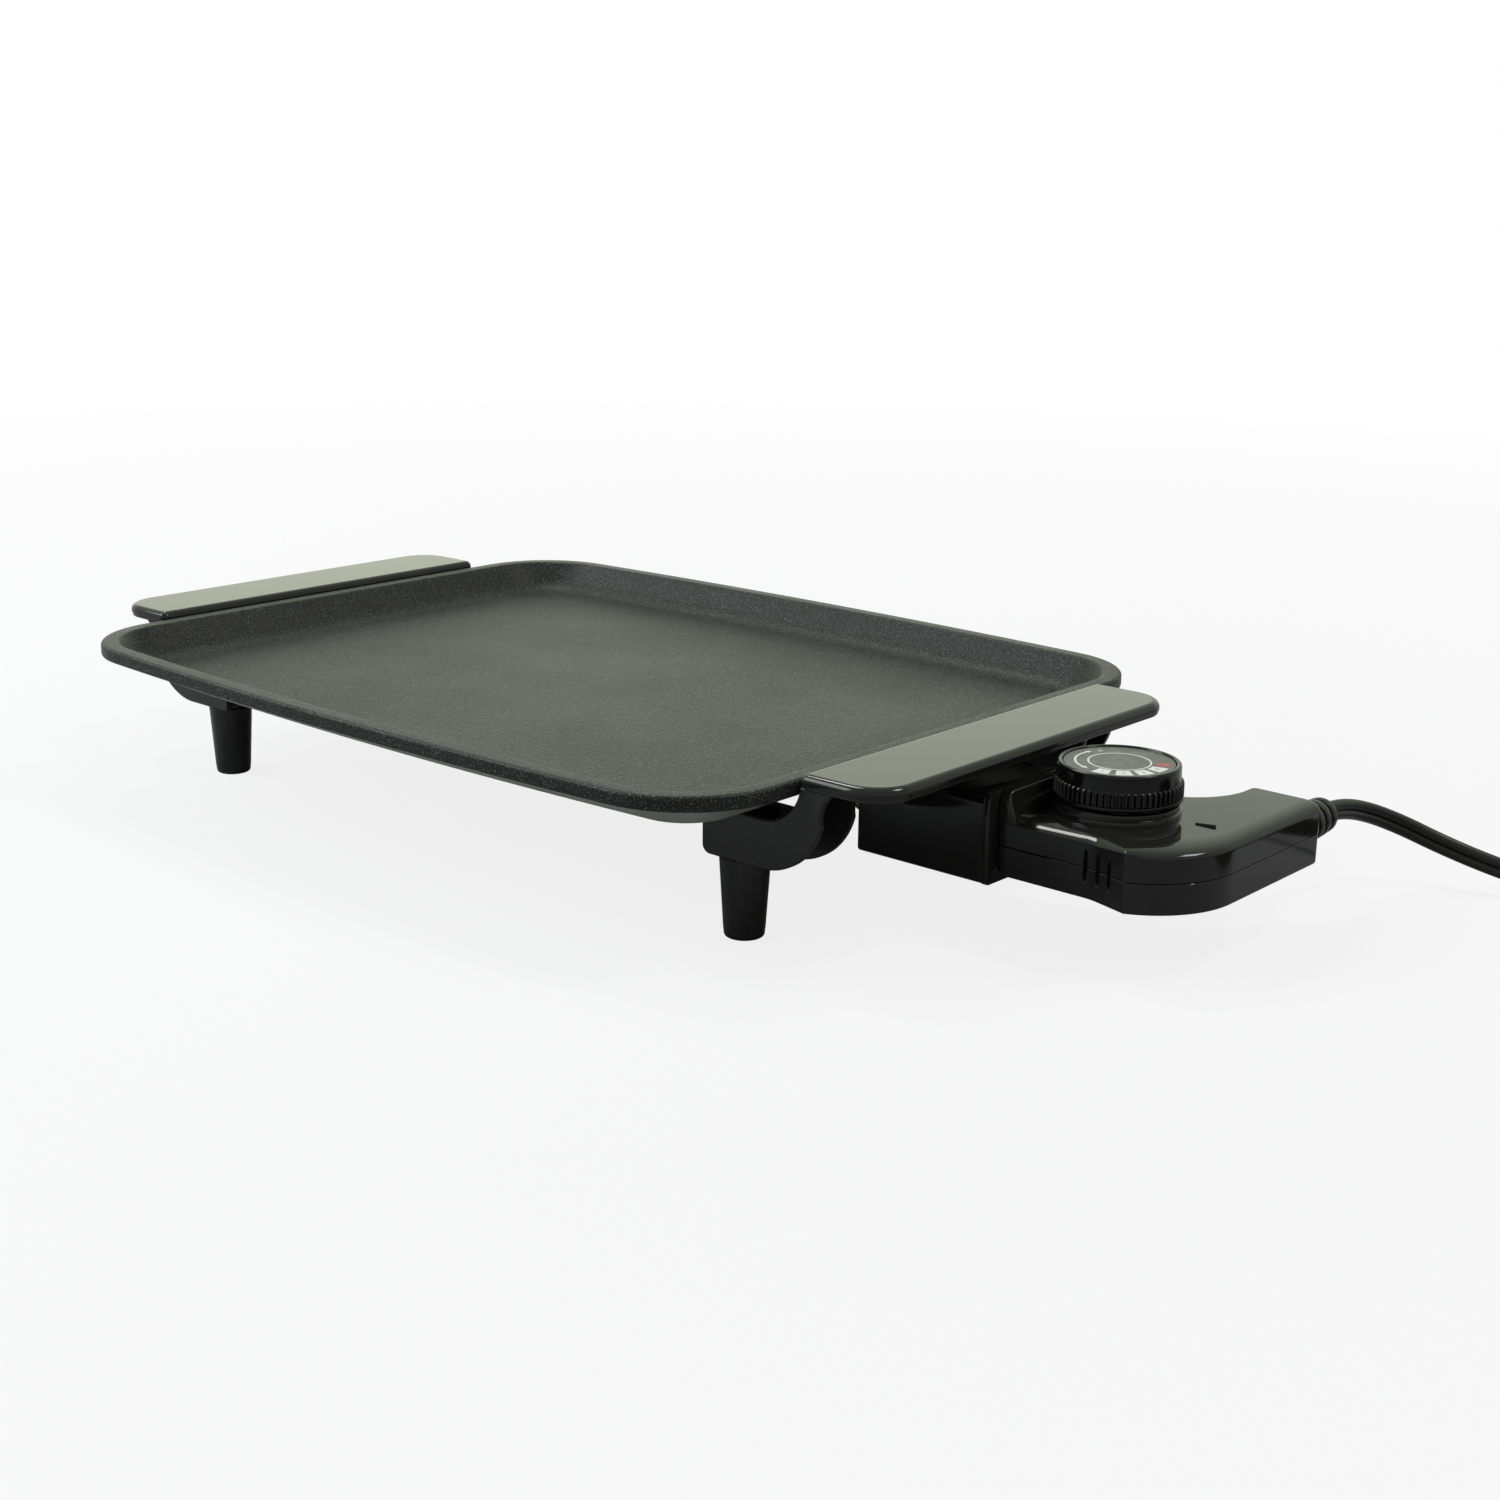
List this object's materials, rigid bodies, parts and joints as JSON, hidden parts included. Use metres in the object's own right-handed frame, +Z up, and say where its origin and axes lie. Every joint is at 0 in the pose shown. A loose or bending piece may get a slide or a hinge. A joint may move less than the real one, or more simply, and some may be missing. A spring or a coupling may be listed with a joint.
{
  "type": "electric griddle",
  "caption": "Electric table griddle: coated rectangular plate with a raised rim on short legs, a handle at each end and a pull-out thermostat control with a dial and lead.",
  "frame": {"origin": "on the table, under the middle of the griddle with its control and without its lead", "axes": "+X towards the control, +Y towards the side where the lead leaves it, +Z up from the table"},
  "size_m": [0.7868, 0.3535, 0.0745],
  "materials": {
    "coated_plate": "satin nonstick coating",
    "black_gloss": "gloss",
    "black_satin": "satin",
    "knob_black": "satin",
    "dial_grey": "printed satin",
    "element_steel": "satin",
    "bright_steel": "satin",
    "screw_steel": "satin",
    "brass_contact": "satin",
    "ceramic": "matt",
    "insert_brown": "matt",
    "wire_cover": "satin",
    "cord_rubber": "satin",
    "tie_black": "satin"
  },
  "bodies": {
    "griddle": {"griddle_plate": "coated_plate", "heating_element": "element_steel", "element_pins": "bright_steel", "element_end_beads": "ceramic", "element_clips": "bright_steel", "clip_screws": "screw_steel", "right_handle_cover": "black_gloss", "left_handle_cover": "black_gloss", "right_handle_frame": "black_satin", "left_handle_frame": "black_satin", "right_handle_screws": "screw_steel", "left_handle_screws": "screw_steel", "front_left_leg": "black_satin", "rear_left_leg": "black_satin", "front_right_leg": "black_satin", "rear_right_leg": "black_satin", "leg_screws": "screw_steel", "socket_housing": "black_gloss", "socket_screws": "screw_steel"},
    "control": {"control_top_shell": "black_gloss", "control_bottom_shell": "black_gloss", "shell_screws": "screw_steel", "nose_insert": "insert_brown", "contact_sleeves": "brass_contact", "sensor_probe": "bright_steel", "switch_frame": "bright_steel", "contact_stack": "ceramic", "lower_contact_leaf": "brass_contact", "upper_contact_leaf": "brass_contact", "contact_rivets": "bright_steel", "lead_wires": "wire_cover", "spindle_bush": "brass_contact", "cord_boot": "cord_rubber", "power_cord": "cord_rubber", "cord_coil": "cord_rubber", "cord_tie": "tie_black", "plug_body": "cord_rubber", "plug_blades": "brass_contact"},
    "dial": {"dial_knob": "knob_black", "dial_plate": "dial_grey", "dial_spindle": "bright_steel"}
  },
  "joints": [
    {"name": "control_slide", "type": "slide", "parent": "griddle", "child": "control", "axis": [1, 0, 0], "range_m": [0, 0.08]},
    {"name": "dial_turn", "type": "hinge", "parent": "control", "child": "dial", "pos_m": [0.2282, 0.0113, 0.06], "axis": [0, 0, 1], "range_deg": [-15, 225]}
  ]
}
